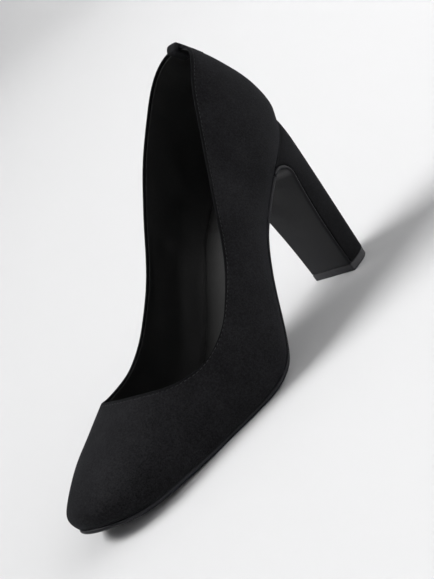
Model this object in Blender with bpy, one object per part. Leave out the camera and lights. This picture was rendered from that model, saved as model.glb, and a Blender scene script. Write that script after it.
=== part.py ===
"""Block heel pump, left shoe, standing empty on its sole.

In metres, +X to the toe, +Y to the shoe's outer side, +Z up. Every piece takes its shape from one
last: the sections along it, the bottom line it stands on, and the topline it is cut at.
"""

import bpy
import bmesh
import numpy as np

# Driving sizes of the last
SHOE_LENGTH = 0.2275
BALL_WIDTH = 0.075
SEAT_WIDTH = 0.046
HEEL_HEIGHT = 0.0854
TOE_SPRING = 0.011
COLLAR_HEIGHT = 0.0584
VAMP_HEIGHT = 0.038
VAMP_LENGTH = 0.0568
BULGE = 0.0025
ROLL_HEIGHT = 0.010

# Materials' thicknesses and clearances
UPPER_WALL = 0.0018
SOLE_THICKNESS = 0.0025
INSOLE_THICKNESS = 0.002
SOLE_MARGIN = 0.0003
GAP = 0.0003

# Heel block, breast flap and top piece
HEEL_FOOT_LENGTH = 0.0196
HEEL_FOOT_WIDTH = 0.031
HEEL_BACK_LEAN = 0.0078
FLAP_THICKNESS = 0.0016
BREAST_RADIUS = 0.0075
LIP_THICKNESS = 0.0007
LIP_CLEAR = 0.001
TOP_PIECE_HEIGHT = 0.0042

# Folded tab over the topline at the back seam. Its legs start this far under the topline, and the
# arc between them runs from shoulder to shoulder, in radians, flattened to the crest's share.
TAB_WIDTH = 0.009
TAB_DROP = 0.0145
TAB_INSIDE = 0.008
TAB_THICKNESS = 0.0012
TAB_EDGE = 0.001
TAB_CREST = 0.6
TAB_SHOULDER = 0.3

# Squareness of the sections: across, and upwards
ACROSS_POWER = 2.3
UPWARD_POWER = 2.0
ROLL_POWER = 0.8
HEEL_ROUND_POWER = 2.8
BLOCK_FLARE = 2.0
SEAT_SPREAD = 3.0
VAMP_ARCH_POWER = 1.7
VAMP_BLEND_END = 0.5

# Centres of the round heel and the round toe, and the last column of the quarters, as stations
HEEL_CENTRE = 0.180
QUARTER_END = 0.440
TOE_CENTRE = 0.835
TOE_ROLL = 0.0065

# Columns round each half of the upper, and levels up it
HEEL_COLUMNS = 8
QUARTER_COLUMNS = 8
VAMP_COLUMNS = 13
TOE_COLUMNS = 10
ROLL_LEVELS = 3
WALL_LEVELS = 10

# Places across the sole and insole, and levels up the flap and round its arc
ACROSS = 6
FLAP_LEVELS = 6
ARC_LEVELS = 14
TAB_PLACES = 7
TAB_REACH = 3
TAB_LEG_LEVELS = 5
TAB_INSIDE_LEVELS = 4

# Rounds that settle a point on a curve, steps along a curve, welding distance and sharpest smooth angle
SETTLE_ROUNDS = 60
CURVE_STEPS = 241
WELD = 1e-6
SMOOTH_DEGREES = 35

LATERAL = 1
MEDIAL = -1

# A row for each section. Station is the share of SHOE_LENGTH from the heel's back. Lateral and medial
# are the feather line's half widths as shares of the width there, middle is its shift as a share of
# BALL_WIDTH. Rises are shares of the heel's rise, spring of TOE_SPRING, bulges of BULGE, roll of
# ROLL_HEIGHT, and ridge of VAMP_HEIGHT above the feather line.
SECTION_COLUMNS = ("station", "lateral", "medial", "middle", "rise_lateral", "rise_medial",
                   "spring", "bulge_lateral", "bulge_medial", "roll", "ridge")
SECTION_ROWS = (
    (-0.004, 0.463, 0.463, 0.000, 1.000, 1.000, 0.00, 0.70, 0.70, 1.00, 2.35),
    (0.079, 0.500, 0.500, 0.000, 0.908, 0.908, 0.00, 0.78, 0.78, 1.10, 2.39),
    (0.154, 0.520, 0.520, 0.000, 0.826, 0.826, 0.00, 1.14, 1.14, 1.30, 2.35),
    (0.220, 0.506, 0.490, 0.007, 0.730, 0.754, 0.00, 1.47, 1.82, 1.45, 2.30),
    (0.286, 0.466, 0.415, 0.013, 0.610, 0.660, 0.00, 1.80, 2.80, 1.60, 2.27),
    (0.352, 0.436, 0.354, 0.020, 0.416, 0.493, 0.00, 2.15, 3.40, 1.70, 2.16),
    (0.418, 0.470, 0.358, 0.017, 0.210, 0.287, 0.00, 2.05, 3.00, 1.60, 2.015),
    (0.484, 0.508, 0.395, 0.008, 0.046, 0.108, 0.00, 1.75, 2.10, 1.35, 1.846),
    (0.549, 0.523, 0.440, -0.010, 0.008, 0.018, 0.00, 1.15, 1.30, 1.15, 1.53),
    (0.583, 0.506, 0.460, -0.023, 0.000, 0.000, 0.00, 0.95, 1.05, 1.05, 1.39),
    (0.615, 0.498, 0.477, -0.037, 0.000, 0.000, 0.00, 0.86, 0.95, 1.00, 1.29),
    (0.703, 0.460, 0.500, -0.073, 0.000, 0.000, 0.00, 0.74, 0.76, 0.90, 1.137),
    (0.835, 0.411, 0.407, -0.088, 0.000, 0.000, 0.20, 0.68, 0.64, 0.80, 0.800),
    (0.923, 0.380, 0.348, -0.065, 0.000, 0.000, 0.46, 0.64, 0.60, 0.70, 0.596),
    (1.000, 0.356, 0.330, -0.034, 0.000, 0.000, 1.00, 0.52, 0.50, 0.50, 0.355),
)

# The topline from the back seam to the throat: station, and heights above the feather line as shares
# of COLLAR_HEIGHT. At the throat it meets the ridge.
TOPLINE_COLUMNS = ("station", "lateral", "medial")
TOPLINE_ROWS = (
    (0.090, 1.157, 1.157),
    (0.176, 1.082, 1.017),
    (0.264, 0.890, 0.895),
    (0.352, 0.783, 0.865),
    (0.440, 0.765, 0.859),
    (0.505, 0.723, 0.819),
    (0.571, 0.602, 0.700),
    (0.624, 0.540, 0.598),
    (0.677, 0.552, 0.577),
)

# The back seam: height above the seat's edge, and how far it leans to the toe, as shares of
# COLLAR_HEIGHT
BACK_COLUMNS = ("height", "lean")
BACK_ROWS = (
    (-0.264, 0.034),
    (0.000, -0.017),
    (0.079, -0.060),
    (0.168, -0.064),
    (0.325, -0.040),
    (0.459, 0.006),
    (0.651, 0.107),
    (0.800, 0.198),
    (1.000, 0.351),
    (1.277, 0.582),
)

# Shares of SHOE_LENGTH between which the local width passes from the seat's to the ball's
SEAT_WIDTH_END = 0.15
BALL_WIDTH_START = 0.55

# Shares of it between which the topline passes to its turn round the throat
THROAT_TURN_START = 0.505
THROAT_TURN_END = 0.640


def smooth(x, xs, ys):
    """Curve through the rows that never overshoots them, held flat past the ends."""
    x, xs, ys = np.asarray(x, float), np.asarray(xs, float), np.asarray(ys, float)
    step = np.diff(xs)
    slope = np.diff(ys) / step
    tangent = np.zeros_like(ys)
    tangent[0], tangent[-1] = slope[0], slope[-1]
    near = 2 * step[1:] + step[:-1]
    far = step[1:] + 2 * step[:-1]
    turning = slope[:-1] * slope[1:] <= 0
    before = np.where(turning, 1, slope[:-1])
    after = np.where(turning, 1, slope[1:])
    tangent[1:-1] = np.where(turning, 0, (near + far) / (near / before + far / after))
    i = np.clip(np.searchsorted(xs, x) - 1, 0, len(xs) - 2)
    t = np.clip((x - xs[i]) / step[i], 0, 1)
    return ((1 + 2 * t) * (1 - t) ** 2 * ys[i] + t * (1 - t) ** 2 * step[i] * tangent[i]
            + t * t * (3 - 2 * t) * ys[i + 1] + t * t * (t - 1) * step[i] * tangent[i + 1])


def ease(t):
    """0 to 1 with flat ends."""
    t = np.clip(t, 0, 1)
    return t * t * (3 - 2 * t)


SECTIONS = dict(zip(SECTION_COLUMNS, np.array(SECTION_ROWS).T))
TOPLINE = dict(zip(TOPLINE_COLUMNS, np.array(TOPLINE_ROWS).T))
BACK = dict(zip(BACK_COLUMNS, np.array(BACK_ROWS).T))

STACK = SOLE_THICKNESS + GAP
HEEL_RISE = HEEL_HEIGHT - STACK
THROAT_X = SHOE_LENGTH - VAMP_LENGTH
HEEL_CENTRE_X = HEEL_CENTRE * SHOE_LENGTH
QUARTER_END_X = QUARTER_END * SHOE_LENGTH
TOE_CENTRE_X = TOE_CENTRE * SHOE_LENGTH
TOE_TIP_X = SHOE_LENGTH
FEATHER_TIP_X = SHOE_LENGTH - TOE_ROLL * SHOE_LENGTH


def section(name, x):
    """One column of the section table at x."""
    return smooth(x, SECTIONS["station"] * SHOE_LENGTH, SECTIONS[name])


def side_name(prefix, side):
    return prefix + ("lateral" if side == LATERAL else "medial")


def middle(x):
    """Middle line of the bottom, seen from above."""
    return section("middle", x) * BALL_WIDTH


def feather_half(x, side):
    """Half width of the last's bottom edge."""
    share = ease((x / SHOE_LENGTH - SEAT_WIDTH_END) / (BALL_WIDTH_START - SEAT_WIDTH_END))
    width = SEAT_WIDTH + (BALL_WIDTH - SEAT_WIDTH) * share
    return section(side_name("", side), x) * width


def feather_z(x, side):
    """Height of the last's bottom edge."""
    rise = section(side_name("rise_", side), x) * HEEL_RISE
    return STACK + rise + section("spring", x) * TOE_SPRING


def feather_middle_z(x):
    return (feather_z(x, LATERAL) + feather_z(x, MEDIAL)) / 2


def bottom_z(x, y):
    """The last's bottom: straight across from the medial edge to the lateral one."""
    low = middle(x) - feather_half(x, MEDIAL)
    high = middle(x) + feather_half(x, LATERAL)
    share = np.clip((y - low) / (high - low), 0, 1)
    return feather_z(x, MEDIAL) + (feather_z(x, LATERAL) - feather_z(x, MEDIAL)) * share


def widest_half(x, side):
    return feather_half(x, side) + section(side_name("bulge_", side), x) * BULGE


def widest_z(x, side):
    return feather_z(x, side) + section("roll", x) * ROLL_HEIGHT


def ridge_z(x):
    """Top of the whole section, which lies above the topline behind the throat."""
    return feather_middle_z(x) + section("ridge", x) * VAMP_HEIGHT


def back_x(z):
    """The back seam's place at a height."""
    share = smooth((z - HEEL_HEIGHT) / COLLAR_HEIGHT, BACK["height"], BACK["lean"])
    return share * COLLAR_HEIGHT


def half_at(x, z, side):
    """Half width of the section at a height: a rolled foot, then a squared arch up to the ridge."""
    foot, wide = feather_half(x, side), widest_half(x, side)
    low, top = widest_z(x, side), ridge_z(x)
    roll = np.clip((z - feather_z(x, side)) / (low - feather_z(x, side)), 0, 1)
    up = np.clip((z - low) / (top - low), 0, 1)
    rolled = foot + (wide - foot) * np.sin(roll * np.pi / 2) ** ROLL_POWER
    arched = wide * (1 - up ** UPWARD_POWER) ** (1 / ACROSS_POWER)
    return np.where(z < low, rolled, arched)


def height_at(x, across, side):
    """Height of the arch where the half width is this share of the widest."""
    up = (1 - np.clip(across, 0, 1) ** ACROSS_POWER) ** (1 / UPWARD_POWER)
    return widest_z(x, side) + (ridge_z(x) - widest_z(x, side)) * up


def section_angle(x, z, side):
    """How far up its section a height lies, as an angle that is a quarter turn on the ridge."""
    low = widest_z(x, side)
    up = np.clip((z - low) / (ridge_z(x) - low), 0, 1)
    return np.arcsin(up ** (UPWARD_POWER / 2))


def topline_angle(x, side):
    """The topline's angle. Along the quarters it keeps the rows' heights. Towards the throat it passes to
    an angle that follows the square root of the distance left, and ends at a quarter turn."""
    rows = TOPLINE["station"] * SHOE_LENGTH
    heights = feather_middle_z(rows) + TOPLINE[side_name("", side)] * COLLAR_HEIGHT
    level = section_angle(x, smooth(x, rows, heights), side)
    place = -np.sqrt(np.append(THROAT_X - rows, 0))
    angles = np.append(section_angle(rows, heights, side), np.pi / 2)
    turning = smooth(-np.sqrt(np.clip(THROAT_X - x, 0, None)), place, angles)
    share = ease((x / SHOE_LENGTH - THROAT_TURN_START) / (THROAT_TURN_END - THROAT_TURN_START))
    return level * (1 - share) + turning * share


def topline_z(x, side):
    up = np.sin(topline_angle(x, side)) ** (2 / UPWARD_POWER)
    return widest_z(x, side) + (ridge_z(x) - widest_z(x, side)) * up


def seat_columns():
    """Turn of each column round the back, and x of its foot on the feather line."""
    turn = np.linspace(0, np.pi / 2, HEEL_COLUMNS + 1)
    forward = 1 - np.cos(turn)
    foot = np.zeros_like(turn)
    for _ in range(SETTLE_ROUNDS):
        seam = back_x(feather_middle_z(foot))
        foot = seam + (HEEL_CENTRE_X - seam) * forward
    return turn, foot


def quarter_side(side):
    """Outer face of the quarter: columns from the back seam to the vamp, levels from feather to topline.

    Round the back a column is a point of an ellipse that moves with the seam's lean. Beyond, it stands
    at one x. Its half width is the section's at each height.
    """
    turn, foot = seat_columns()
    forward = 1 - np.cos(turn)
    top = np.full_like(turn, HEEL_HEIGHT + COLLAR_HEIGHT)
    for _ in range(SETTLE_ROUNDS):
        seam = back_x(top)
        top = (top + topline_z(seam + (HEEL_CENTRE_X - seam) * forward, side)) / 2
    body = np.linspace(HEEL_CENTRE_X, QUARTER_END_X, QUARTER_COLUMNS + 1)[1:]
    foot = np.append(foot, body)
    top = np.append(top, topline_z(body, side))
    low, wide = feather_z(foot, side), widest_z(foot, side)
    roll = np.linspace(0, 1, ROLL_LEVELS + 1)[:-1]
    wall = np.linspace(0, 1, WALL_LEVELS + 1)
    z = np.hstack([low[:, None] + np.outer(wide - low, roll), wide[:, None] + np.outer(top - wide, wall)])
    x = np.repeat(foot[:, None], z.shape[1], axis=1)
    seam = back_x(z[:len(turn)])
    x[:len(turn)] = seam + (HEEL_CENTRE_X - seam) * forward[:, None]
    half = half_at(x, z, side)
    half[:len(turn)] *= np.sin(turn)[:, None]
    return np.stack([x, middle(x) + side * half, z], axis=2)


def vamp_plan(side):
    """Plan of the widest line from the last quarter column to the toe tip, and of the topline's match."""
    body = np.linspace(QUARTER_END_X, TOE_CENTRE_X, VAMP_COLUMNS + 1)
    turn = np.linspace(0, np.pi / 2, TOE_COLUMNS + 1)[1:]
    narrow = np.append(np.ones_like(body), np.cos(turn))
    x = np.append(body, TOE_CENTRE_X + (TOE_TIP_X - TOE_CENTRE_X) * np.sin(turn))
    foot_x = np.append(body, TOE_CENTRE_X + (FEATHER_TIP_X - TOE_CENTRE_X) * np.sin(turn))
    half = widest_half(x, side) * narrow
    foot_half = feather_half(foot_x, side) * narrow
    along = np.append(0, np.cumsum(np.hypot(np.diff(x), np.diff(half))))
    top_x = THROAT_X - (THROAT_X - QUARTER_END_X) * np.linspace(1, 0, CURVE_STEPS) ** 2
    top_half = widest_half(top_x, side) * np.cos(topline_angle(top_x, side)) ** (2 / ACROSS_POWER)
    top_along = np.append(0, np.cumsum(np.hypot(np.diff(top_x), np.diff(top_half))))
    share = along / along[-1]
    match_x = np.interp(share, top_along / top_along[-1], top_x)
    match_half = np.interp(share, top_along / top_along[-1], top_half)
    match_half[-1] = 0
    return share, (foot_x, foot_half), (x, half), (match_x, match_half)


def vamp_side(side):
    """Outer face of half the vamp: each column runs inwards, seen from above, from the widest line to
    the topline, and its height is the arch's there. Past the toe's centre the share across is the
    distance from that centre, measured in the toe's own radius and the section's half width.
    """
    share, foot, wide, match = vamp_plan(side)
    wall = np.linspace(0, 1, WALL_LEVELS + 1)
    top_up = np.sin(topline_angle(QUARTER_END_X, side)) ** (2 / UPWARD_POWER)
    across = (1 - (top_up * wall) ** UPWARD_POWER) ** (1 / ACROSS_POWER)
    upright = (1 - across) / (1 - across[-1])
    inward = wall ** VAMP_ARCH_POWER
    blend = ease(share / VAMP_BLEND_END)[:, None]
    step = upright * (1 - blend) + inward * blend
    x = wide[0][:, None] + (match[0] - wide[0])[:, None] * step
    half = wide[1][:, None] + (match[1] - wide[1])[:, None] * step
    past = np.clip((x - TOE_CENTRE_X) / (TOE_TIP_X - TOE_CENTRE_X), 0, None)
    z = height_at(x, np.hypot(past, half / widest_half(x, side)), side)
    roll = np.linspace(0, 1, ROLL_LEVELS + 1)[:-1]
    out = np.sin(roll * np.pi / 2) ** ROLL_POWER
    low_x = foot[0][:, None] + (wide[0] - foot[0])[:, None] * out
    low_half = foot[1][:, None] + (wide[1] - foot[1])[:, None] * out
    low, high = feather_z(foot[0], side), widest_z(wide[0], side)
    low_z = low[:, None] + (high - low)[:, None] * roll
    x, half, z = np.hstack([low_x, x]), np.hstack([low_half, half]), np.hstack([low_z, z])
    return np.stack([x, middle(x) + side * half, z], axis=2)


def outer_face():
    """The upper's outer face as a ring of columns: back seam, lateral side, toe tip, medial side."""
    halves = [np.concatenate([quarter_side(side), vamp_side(side)[1:]]) for side in (LATERAL, MEDIAL)]
    return np.concatenate([halves[0], halves[1][-2:0:-1]])


def outward(face):
    """Unit normals of a ring of columns."""
    along = np.roll(face, -1, axis=0) - np.roll(face, 1, axis=0)
    up = np.gradient(face, axis=1)
    normal = np.cross(up, along)
    return normal / np.linalg.norm(normal, axis=2, keepdims=True)


def inset(outline, distance):
    """A closed plan outline moved inwards. It runs from the heel by the lateral side to the toe."""
    along = np.roll(outline, -1, axis=0) - np.roll(outline, 1, axis=0)
    inwards = np.stack([along[:, 1], -along[:, 0]], axis=1)
    return outline + inwards / np.linalg.norm(inwards, axis=1, keepdims=True) * distance


def material(name, colour, roughness, sheen=0.0):
    made = bpy.data.materials.new(name)
    made.use_nodes = True
    shader = made.node_tree.nodes["Principled BSDF"]
    shader.inputs["Base Color"].default_value = (*colour, 1)
    shader.inputs["Roughness"].default_value = roughness
    shader.inputs["Sheen Weight"].default_value = sheen
    shader.inputs["Metallic"].default_value = 0
    made.diffuse_color = (*colour, 1)
    return made


def solid(name, points, faces, finish, parent):
    """One closed mesh with its faces out, smooth except at its edges. Points that meet become one."""
    faces = [tuple(dict.fromkeys(face)) for face in faces]
    mesh = bpy.data.meshes.new(name)
    mesh.from_pydata([tuple(p) for p in points], [], faces)
    shape = bmesh.new()
    shape.from_mesh(mesh)
    bmesh.ops.remove_doubles(shape, verts=shape.verts, dist=WELD)
    bmesh.ops.recalc_face_normals(shape, faces=shape.faces)
    shape.to_mesh(mesh)
    shape.free()
    mesh.shade_smooth()
    mesh.set_sharp_from_angle(angle=np.radians(SMOOTH_DEGREES))
    mesh.materials.append(finish)
    made = bpy.data.objects.new(name, mesh)
    made.parent = parent
    bpy.context.scene.collection.objects.link(made)
    return made


def tube_faces(rings, size, closed):
    """Quads between rings of equal size, joined first to last where closed."""
    faces = []
    for i in range(rings if closed else rings - 1):
        a, b = i * size, (i + 1) % rings * size
        for j in range(size):
            k = (j + 1) % size
            faces.append((a + j, a + k, b + k, b + j))
    return faces


def ladder(lateral, medial, base=0):
    """Faces of a strip between two index rows."""
    return [(a + base, b + base, d + base, c + base)
            for a, b, c, d in zip(lateral, lateral[1:], medial, medial[1:])]


def make_upper(finish, parent):
    """Shell between the outer face and the same face moved in by the wall. Its foot is cut on the
    last's bottom, so the inner edge there moves straight inwards."""
    outer = outer_face()
    inner = outer - outward(outer) * UPPER_WALL
    inner[:, 0] = on_bottom(inset(outer[:, 0, :2], UPPER_WALL), 0)
    rings = np.concatenate([outer, inner[:, ::-1]], axis=1)
    columns, size = rings.shape[:2]
    return solid("upper", rings.reshape(-1, 3), tube_faces(columns, size, True), finish, parent)


def slab(name, top, bottom, finish, parent):
    """Closed plate between two grids of points, rungs by places across."""
    rungs, places = top.shape[:2]
    rings = np.concatenate([top, bottom[:, ::-1]], axis=1)
    size = 2 * places
    faces = tube_faces(rungs, size, False)
    for base in (0, (rungs - 1) * size):
        faces += ladder(list(range(places)), list(range(size - 1, places - 1, -1)), base)
    return solid(name, rings.reshape(-1, 3), faces, finish, parent)


def rungs_across(outline):
    """Plan points straight across an outline that runs from the heel by the lateral side to the toe and
    back: a rung for each pair of columns."""
    half = len(outline) // 2
    lateral = outline[:half + 1]
    medial = np.concatenate([outline[:1], outline[:half - 1:-1]])
    share = np.linspace(0, 1, ACROSS + 1)[None, :, None]
    return lateral[:, None] * (1 - share) + medial[:, None] * share


def on_bottom(plan, drop):
    """Plan points laid on the last's bottom, lowered by drop."""
    z = bottom_z(plan[..., 0], plan[..., 1]) - drop
    return np.concatenate([plan, z[..., None]], axis=-1)


def make_insole(finish, parent):
    plan = rungs_across(inset(outer_face()[:, 0, :2], UPPER_WALL + GAP))
    return slab("insole", on_bottom(plan, -INSOLE_THICKNESS), on_bottom(plan, 0), finish, parent)


def breast():
    """The breast's visible profile: the plane's x, the arc's centre, and where the arc meets the waist."""
    plane_x = back_x(HEEL_HEIGHT) + HEEL_BACK_LEAN + HEEL_FOOT_LENGTH
    centre_x = plane_x + BREAST_RADIUS
    x = centre_x + np.linspace(0, 0.95, CURVE_STEPS) * BREAST_RADIUS
    room = feather_middle_z(x) - STACK - np.sqrt(BREAST_RADIUS ** 2 - (x - centre_x) ** 2)
    tight = room.argmin()
    return plane_x, centre_x, room[tight], x[tight]


def flap_profile(clearance=0):
    """Front and back of the flap, seen from the side, from its foot up to the waist. A clearance moves
    the back away from the flap."""
    plane_x, centre_x, centre_z, meet_x = breast()
    foot = TOP_PIECE_HEIGHT + GAP
    up = np.linspace(foot, centre_z, FLAP_LEVELS + 1)
    end = np.pi - np.arccos((meet_x - centre_x) / BREAST_RADIUS)
    turn = np.linspace(0, end, ARC_LEVELS + 1)[1:]
    x = np.append(np.full_like(up, plane_x), centre_x - BREAST_RADIUS * np.cos(turn))
    z = np.append(up, centre_z + BREAST_RADIUS * np.sin(turn))
    lean = np.append(np.zeros_like(up), turn)
    slanted = SOLE_THICKNESS * np.sin(end)
    thick = FLAP_THICKNESS + (slanted - FLAP_THICKNESS) * lean / end + clearance
    front = np.column_stack([x, z])
    back = front + np.column_stack([-np.cos(lean), np.sin(lean)]) * thick[:, None]
    return front, back


def heel_front():
    """Profile of the heel's front face: the flap's back with the gap, as far as the lip, where the heel
    between it and the seat is still LIP_THICKNESS thick."""
    profile = flap_profile(GAP)[1]
    room = feather_middle_z(profile[:, 0]) - GAP - profile[:, 1]
    return profile[:np.flatnonzero(room > LIP_THICKNESS).max() + 1]


def block_half(share):
    """Half width of the heel's front face, from its foot (0) to the lip (1)."""
    seat = feather_half(heel_front()[-1, 0], LATERAL)
    return HEEL_FOOT_WIDTH / 2 + (seat - HEEL_FOOT_WIDTH / 2) * share ** BLOCK_FLARE


def make_outsole(finish, parent):
    """Rungs across, from the flap's foot up the breast, round the arc and along the sole to the toe."""
    front, back = flap_profile()
    foot, lip = front[0, 1], heel_front()[-1]
    halves = block_half(np.clip((front[:, 1] - foot) / (lip[1] - foot), 0, 1))
    edge = feather_half(front[-1, 0], LATERAL) + SOLE_MARGIN
    halves += (edge - halves[-1]) * ease((front[:, 0] - front[0, 0]) / (front[-1, 0] - front[0, 0]))
    across = np.linspace(1, -1, ACROSS + 1)
    flap = []
    for profile in (back, front):
        y = middle(front[:, 0])[:, None] + np.outer(halves, across)
        x, z = (np.repeat(profile[:, k:k + 1], ACROSS + 1, axis=1) for k in (0, 1))
        flap.append(np.stack([x, y, z], axis=2))
    plan = rungs_across(inset(outer_face()[:, 0, :2], -SOLE_MARGIN))
    plan = plan[plan[:, :, 0].min(axis=1) > back[-1, 0] + GAP]
    upper, lower = on_bottom(plan, GAP), on_bottom(plan, STACK)
    lower[..., 2] = np.maximum(lower[..., 2], 0)
    return slab("outsole", np.concatenate([flap[0], upper]), np.concatenate([flap[1], lower]), finish, parent)


def foot_round(turn):
    """The D outline of the heel's foot: shares forward from its back, and sideways."""
    forward = 1 - np.cos(turn) ** (2 / HEEL_ROUND_POWER)
    return forward, np.sign(turn) * np.abs(np.sin(turn)) ** (2 / HEEL_ROUND_POWER)


def make_heel(finish, parent):
    """Levels from the D-shaped foot to the seat. Each column keeps its share of the way from the back
    line to the breast, and passes from the foot's outline to the seat's."""
    front = heel_front()
    seat_back, lip_x = back_x(HEEL_HEIGHT), front[-1, 0]
    turn, seat_x = seat_columns()
    inner = seat_x < lip_x - LIP_CLEAR
    last_turn = np.arccos((HEEL_CENTRE_X - lip_x) / (HEEL_CENTRE_X - seat_back))
    seat_x, turn = np.append(seat_x[inner], lip_x), np.append(turn[inner], last_turn)
    seat_half = feather_half(seat_x, LATERAL) * np.sin(turn)
    seat_z = feather_middle_z(seat_x) - GAP
    forward_foot, half_foot = foot_round(np.linspace(0, np.pi / 2, len(seat_x)))
    forward_seat = (seat_x - seat_back) / (lip_x - seat_back)
    low = front[0, 1]
    rings = []
    for front_x, front_z in np.vstack([front, [lip_x, seat_z[-1]]]):
        step = (front_z - low) / (seat_z[-1] - low)
        z = low + (seat_z - low) * step
        back = seat_back + HEEL_BACK_LEAN * (1 - z / seat_z[0])
        forward = forward_foot + (forward_seat - forward_foot) * step ** SEAT_SPREAD
        x = back + (front_x - back) * forward
        half = half_foot * HEEL_FOOT_WIDTH / 2
        half = half + (seat_half - half) * step ** BLOCK_FLARE
        lateral = np.column_stack([x, half, z])
        rings.append(np.concatenate([lateral[:0:-1] * (1, -1, 1), lateral]))
    rings = np.array(rings)
    size = rings.shape[1]
    faces = tube_faces(len(rings), size, False)
    for base in (0, (len(rings) - 1) * size):
        faces += ladder(list(range(size // 2, size)), list(range(size // 2, -1, -1)), base)
    return solid("heel", rings.reshape(-1, 3), faces, finish, parent)


def make_top_piece(finish, parent):
    forward, sideways = foot_round(np.linspace(-np.pi / 2, np.pi / 2, 2 * HEEL_COLUMNS + 1))
    rings = []
    for z in (0, TOP_PIECE_HEIGHT):
        back = back_x(HEEL_HEIGHT) + HEEL_BACK_LEAN * (1 - z / HEEL_HEIGHT)
        x = back + (breast()[0] - back) * forward
        rings.append(np.column_stack([x, sideways * HEEL_FOOT_WIDTH / 2, np.full_like(x, z)]))
    size = len(rings[0])
    faces = tube_faces(2, size, False) + [tuple(range(size)), tuple(range(size, 2 * size))]
    return solid("top_piece", np.concatenate(rings), faces, finish, parent)


def spot_under(line, out, distance):
    """Point of the outer face at a distance down from the topline, and its normal."""
    depth = np.append(0, np.cumsum(np.linalg.norm(np.diff(line[::-1], axis=0), axis=1)))
    spot = np.array([np.interp(distance, depth, line[::-1, axis]) for axis in range(3)])
    way = np.array([np.interp(distance, depth, out[::-1, axis]) for axis in range(3)])
    return spot, way / np.linalg.norm(way)


def tab_loop(line, out):
    """U round the wall, its inner side first: down inside, over the topline and down the back."""
    crest, face = spot_under(line, out, 0)
    up = crest - spot_under(line, out, TAB_EDGE)[0]
    up /= np.linalg.norm(up)
    wall_middle = crest - face * UPPER_WALL / 2
    turn = np.linspace(TAB_SHOULDER, np.pi - TAB_SHOULDER, TAB_LEG_LEVELS)
    loop = []
    for clearance in (GAP, GAP + TAB_THICKNESS):
        reach = UPPER_WALL / 2 + clearance
        path = []
        for distance in np.linspace(TAB_DROP, TAB_EDGE, TAB_LEG_LEVELS):
            spot, way = spot_under(line, out, distance)
            path.append(spot + way * clearance)
        for angle in turn:
            rise = clearance + reach * TAB_CREST * np.sin(angle)
            path.append(wall_middle + face * reach * np.cos(angle) + up * rise)
        for distance in np.linspace(TAB_EDGE, TAB_INSIDE, TAB_INSIDE_LEVELS):
            spot, way = spot_under(line, out, distance)
            path.append(spot - way * (UPPER_WALL + clearance))
        loop += path if clearance == GAP else path[::-1]
    return loop


def make_back_tab(finish, parent):
    """Strip folded over the topline: a U round the wall at each place across the seam."""
    outer = outer_face()
    near = np.arange(-TAB_REACH, TAB_REACH + 1)
    strip, strip_normal = outer[near], outward(outer)[near]
    level = np.arange(strip.shape[1])
    rings = []
    for offset in np.linspace(-0.5, 0.5, TAB_PLACES) * TAB_WIDTH:
        column = np.array([np.interp(offset, strip[:, k, 1], np.arange(len(near))) for k in level])
        low = np.floor(column).astype(int).clip(0, len(near) - 2)
        part = (column - low)[:, None]
        line = strip[low, level] * (1 - part) + strip[low + 1, level] * part
        out = strip_normal[low, level] * (1 - part) + strip_normal[low + 1, level] * part
        rings.append(tab_loop(line, out))
    rings = np.array(rings)
    count, size = rings.shape[:2]
    faces = tube_faces(count, size, False)
    half = size // 2
    for base in (0, (count - 1) * size):
        faces += ladder(list(range(half)), list(range(size - 1, half - 1, -1)), base)
    return solid("back_tab", rings.reshape(-1, 3), faces, finish, parent)


def main():
    for item in list(bpy.data.objects):
        bpy.data.objects.remove(item)
    shoe = bpy.data.objects.new("shoe", None)
    bpy.context.scene.collection.objects.link(shoe)
    suede = material("black_suede", (0.0085, 0.0085, 0.009), 0.95, 0.3)
    sole = material("black_sole", (0.02, 0.02, 0.023), 0.45)
    rubber = material("black_rubber", (0.025, 0.025, 0.026), 0.6)
    sock = material("black_sock", (0.012, 0.012, 0.012), 0.7)
    made = [make_upper(suede, shoe), make_insole(sock, shoe), make_outsole(sole, shoe),
            make_heel(suede, shoe), make_top_piece(rubber, shoe), make_back_tab(suede, shoe)]
    corners = np.array([v.co for item in made for v in item.data.vertices])
    centre = (corners.min(axis=0) + corners.max(axis=0)) / 2
    shoe.location = (-centre[0], -centre[1], 0)


main()
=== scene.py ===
"""Block heel pump, left shoe, in black suede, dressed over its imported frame.

In metres. +X runs to the toe, +Y to the shoe's outer side, +Z up. Every piece takes its shape from one
last, which is worked out from tables of sections and then moved to the frame's place.
"""

import bmesh
import bpy
import numpy as np
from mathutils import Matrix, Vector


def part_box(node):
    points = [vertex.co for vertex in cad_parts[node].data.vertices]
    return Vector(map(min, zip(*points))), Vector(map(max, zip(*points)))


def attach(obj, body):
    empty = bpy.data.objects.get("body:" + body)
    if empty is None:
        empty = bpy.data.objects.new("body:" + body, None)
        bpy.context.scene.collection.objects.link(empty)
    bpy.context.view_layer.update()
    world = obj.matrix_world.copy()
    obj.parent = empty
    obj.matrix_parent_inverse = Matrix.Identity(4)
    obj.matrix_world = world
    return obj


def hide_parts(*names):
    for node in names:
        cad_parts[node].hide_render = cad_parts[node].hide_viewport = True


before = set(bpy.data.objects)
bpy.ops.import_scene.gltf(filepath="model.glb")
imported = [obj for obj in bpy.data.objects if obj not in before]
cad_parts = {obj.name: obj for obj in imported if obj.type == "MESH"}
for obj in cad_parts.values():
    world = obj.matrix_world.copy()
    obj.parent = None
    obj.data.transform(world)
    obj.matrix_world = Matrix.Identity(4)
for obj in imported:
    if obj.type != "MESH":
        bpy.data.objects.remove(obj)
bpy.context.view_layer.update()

# Driving sizes of the last
SHOE_LENGTH = 0.2275
BALL_WIDTH = 0.075
SEAT_WIDTH = 0.046
HEEL_HEIGHT = 0.0854
TOE_SPRING = 0.011
COLLAR_HEIGHT = 0.0584
VAMP_HEIGHT = 0.038
VAMP_LENGTH = 0.0568
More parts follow.
